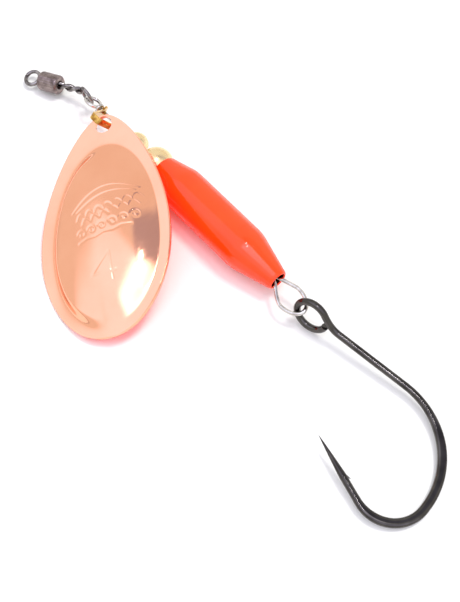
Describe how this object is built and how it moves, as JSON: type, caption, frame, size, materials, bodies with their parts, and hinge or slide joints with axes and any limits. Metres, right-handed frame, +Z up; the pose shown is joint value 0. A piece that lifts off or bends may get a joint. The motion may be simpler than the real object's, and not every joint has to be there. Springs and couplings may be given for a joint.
{
  "type": "inline spinner",
  "caption": "Inline spinner fishing lure with a barrel swivel, a hanging copper blade on a folded clevis, brass beads, an orange torpedo body and a single hook.",
  "frame": {"origin": "centre of the line-tie eye, at the front of the swivel", "axes": "+X runs along the shaft from the line tie towards the hook, +Z is up from the surface that the lure lies on, and +Y is to the side away from the blade"},
  "size_m": [0.0964, 0.0307, 0.0091],
  "materials": {
    "swivel_wire": "bright nickel-plated wire, darker in the folds",
    "swivel_barrel": "pewter plating, satin, ridged along its length",
    "stainless_wire": "bright drawn stainless wire",
    "clevis_brass": "polished brass strip, darker in the folds",
    "blade_copper": "mirror-polished copper",
    "bead_brass": "mirror-polished brass",
    "body_paint": "gloss fluorescent orange-red paint under a thick clear coat",
    "hook_black_nickel": "black nickel, polished"
  },
  "bodies": {
    "line_tie": {"line_tie_eye": "swivel_wire"},
    "swivel_barrel": {"swivel_barrel": "swivel_barrel"},
    "swivel_link": {"swivel_rear_eye": "swivel_wire"},
    "shaft": {"shaft_wire": "stainless_wire"},
    "clevis": {"clevis": "clevis_brass"},
    "blade": {"blade": "blade_copper"},
    "small_bead": {"small_bead": "bead_brass"},
    "large_bead": {"large_bead": "bead_brass"},
    "body": {"body": "body_paint"},
    "hook": {"hook": "hook_black_nickel"}
  },
  "joints": [
    {"name": "barrel_spin", "type": "hinge", "parent": "line_tie", "child": "swivel_barrel", "pos_m": [0.00331, 0.0014, 0.00063], "axis": [-0.9065, -0.3848, -0.1736], "continuous": true},
    {"name": "neck_spin", "type": "hinge", "parent": "swivel_barrel", "child": "swivel_link", "pos_m": [0.00589, 0.0025, 0.00113], "axis": [-0.9065, -0.3848, -0.1736], "continuous": true},
    {"name": "swivel_swing", "type": "hinge", "parent": "swivel_link", "child": "shaft", "pos_m": [0.01106, 0.0036, 0.00217], "axis": [0, 0.809, -0.5878], "range_deg": [-30, 30]},
    {"name": "clevis_spin", "type": "hinge", "parent": "shaft", "child": "clevis", "pos_m": [0.01756, 0.0036, 0.00217], "axis": [1, 0, 0], "continuous": true},
    {"name": "blade_swing", "type": "hinge", "parent": "clevis", "child": "blade", "pos_m": [0.01901, 0.00061, 0.00586], "axis": [0, -0.7771, -0.6293], "range_deg": [0, 50]},
    {"name": "small_bead_spin", "type": "hinge", "parent": "shaft", "child": "small_bead", "pos_m": [0.02351, 0.0036, 0.00217], "axis": [1, 0, 0], "continuous": true},
    {"name": "large_bead_spin", "type": "hinge", "parent": "shaft", "child": "large_bead", "pos_m": [0.02856, 0.0036, 0.00217], "axis": [1, 0, 0], "continuous": true},
    {"name": "body_spin", "type": "hinge", "parent": "shaft", "child": "body", "pos_m": [0.04316, 0.0036, 0.00217], "axis": [1, 0, 0], "continuous": true},
    {"name": "hook_swing", "type": "hinge", "parent": "shaft", "child": "hook", "pos_m": [0.06251, 0.00298, 0.00201], "axis": [0, -1, 0], "range_deg": [-60, 60]}
  ]
}
